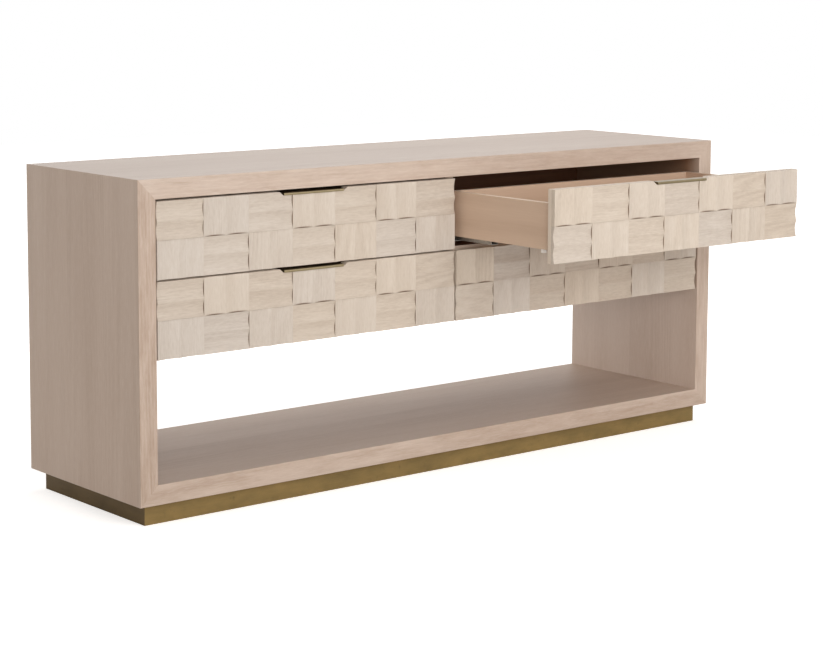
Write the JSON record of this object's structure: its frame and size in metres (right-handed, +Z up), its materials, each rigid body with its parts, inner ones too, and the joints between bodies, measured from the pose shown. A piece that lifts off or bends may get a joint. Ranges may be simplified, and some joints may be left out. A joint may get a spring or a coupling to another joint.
{
  "type": "chest of drawers",
  "caption": "Long low chest of drawers with crossed fluted wood fronts and brass finger pulls, over an open shelf in a thick mitred frame on a recessed brass plinth.",
  "frame": {"origin": "on the floor under the middle of the plinth", "axes": "+X to the right seen from the front, +Y to the back, +Z up; the drawers open towards -Y"},
  "size_m": [1.8, 0.82, 0.765],
  "materials": {
    "limed_oak_frame": "limed oak veneer, matt lacquer",
    "limed_oak_blocks": "limed solid oak, fluted, matt lacquer",
    "front_core": "stained board",
    "carcass_board": "stained board",
    "drawer_box_wood": "smooth tan lacquered wood",
    "plinth_softwood": "planed softwood",
    "antique_brass": "satin antique brass",
    "zinc_steel": "zinc plated steel",
    "white_plastic": "moulded white plastic"
  },
  "bodies": {
    "case": {"back_panel": "carcass_board", "base_shelf": "limed_oak_frame", "cabinet_rails": "zinc_steel", "centre_partition": "carcass_board", "corner_splines": "plinth_softwood", "drawer_deck": "carcass_board", "left_dust_panel": "carcass_board", "left_side_panel": "limed_oak_frame", "plinth_cladding": "antique_brass", "plinth_cross_rails": "plinth_softwood", "plinth_front_rail": "plinth_softwood", "plinth_rear_rail": "plinth_softwood", "right_dust_panel": "carcass_board", "right_side_panel": "limed_oak_frame", "top_panel": "limed_oak_frame"},
    "upper_left_drawer": {"upper_left_box_back": "drawer_box_wood", "upper_left_box_bottom": "drawer_box_wood", "upper_left_box_front": "drawer_box_wood", "upper_left_box_sides": "drawer_box_wood", "upper_left_clips": "white_plastic", "upper_left_drawer_rails": "zinc_steel", "upper_left_face_blocks": "limed_oak_blocks", "upper_left_front_board": "front_core", "upper_left_front_screws": "zinc_steel", "upper_left_pull": "antique_brass"},
    "upper_left_runner": {"upper_left_middle_rails": "zinc_steel"},
    "upper_right_drawer": {"upper_right_box_back": "drawer_box_wood", "upper_right_box_bottom": "drawer_box_wood", "upper_right_box_front": "drawer_box_wood", "upper_right_box_sides": "drawer_box_wood", "upper_right_clips": "white_plastic", "upper_right_drawer_rails": "zinc_steel", "upper_right_face_blocks": "limed_oak_blocks", "upper_right_front_board": "front_core", "upper_right_front_screws": "zinc_steel", "upper_right_pull": "antique_brass"},
    "upper_right_runner": {"upper_right_middle_rails": "zinc_steel"},
    "lower_left_drawer": {"lower_left_box_back": "drawer_box_wood", "lower_left_box_bottom": "drawer_box_wood", "lower_left_box_front": "drawer_box_wood", "lower_left_box_sides": "drawer_box_wood", "lower_left_clips": "white_plastic", "lower_left_drawer_rails": "zinc_steel", "lower_left_face_blocks": "limed_oak_blocks", "lower_left_front_board": "front_core", "lower_left_front_screws": "zinc_steel", "lower_left_pull": "antique_brass"},
    "lower_left_runner": {"lower_left_middle_rails": "zinc_steel"},
    "lower_right_drawer": {"lower_right_box_back": "drawer_box_wood", "lower_right_box_bottom": "drawer_box_wood", "lower_right_box_front": "drawer_box_wood", "lower_right_box_sides": "drawer_box_wood", "lower_right_clips": "white_plastic", "lower_right_drawer_rails": "zinc_steel", "lower_right_face_blocks": "limed_oak_blocks", "lower_right_front_board": "front_core", "lower_right_front_screws": "zinc_steel", "lower_right_pull": "antique_brass"},
    "lower_right_runner": {"lower_right_middle_rails": "zinc_steel"}
  },
  "joints": [
    {"name": "upper_left_slide", "type": "slide", "parent": "case", "child": "upper_left_drawer", "axis": [0, -1, 0], "range_m": [0, 0.35]},
    {"name": "upper_left_runner_slide", "type": "slide", "parent": "case", "child": "upper_left_runner", "axis": [0, -1, 0], "range_m": [0, 0.175]},
    {"name": "upper_right_slide", "type": "slide", "parent": "case", "child": "upper_right_drawer", "axis": [0, -1, 0], "range_m": [-0.342, 0.008]},
    {"name": "upper_right_runner_slide", "type": "slide", "parent": "case", "child": "upper_right_runner", "axis": [0, -1, 0], "range_m": [-0.171, 0.004]},
    {"name": "lower_left_slide", "type": "slide", "parent": "case", "child": "lower_left_drawer", "axis": [0, -1, 0], "range_m": [0, 0.35]},
    {"name": "lower_left_runner_slide", "type": "slide", "parent": "case", "child": "lower_left_runner", "axis": [0, -1, 0], "range_m": [0, 0.175]},
    {"name": "lower_right_slide", "type": "slide", "parent": "case", "child": "lower_right_drawer", "axis": [0, -1, 0], "range_m": [0, 0.35]},
    {"name": "lower_right_runner_slide", "type": "slide", "parent": "case", "child": "lower_right_runner", "axis": [0, -1, 0], "range_m": [0, 0.175]}
  ],
  "couplings": [
    {"joint": "upper_left_runner_slide", "follows": "upper_left_slide", "ratio": 0.5},
    {"joint": "upper_right_runner_slide", "follows": "upper_right_slide", "ratio": 0.5},
    {"joint": "lower_left_runner_slide", "follows": "lower_left_slide", "ratio": 0.5},
    {"joint": "lower_right_runner_slide", "follows": "lower_right_slide", "ratio": 0.5}
  ]
}
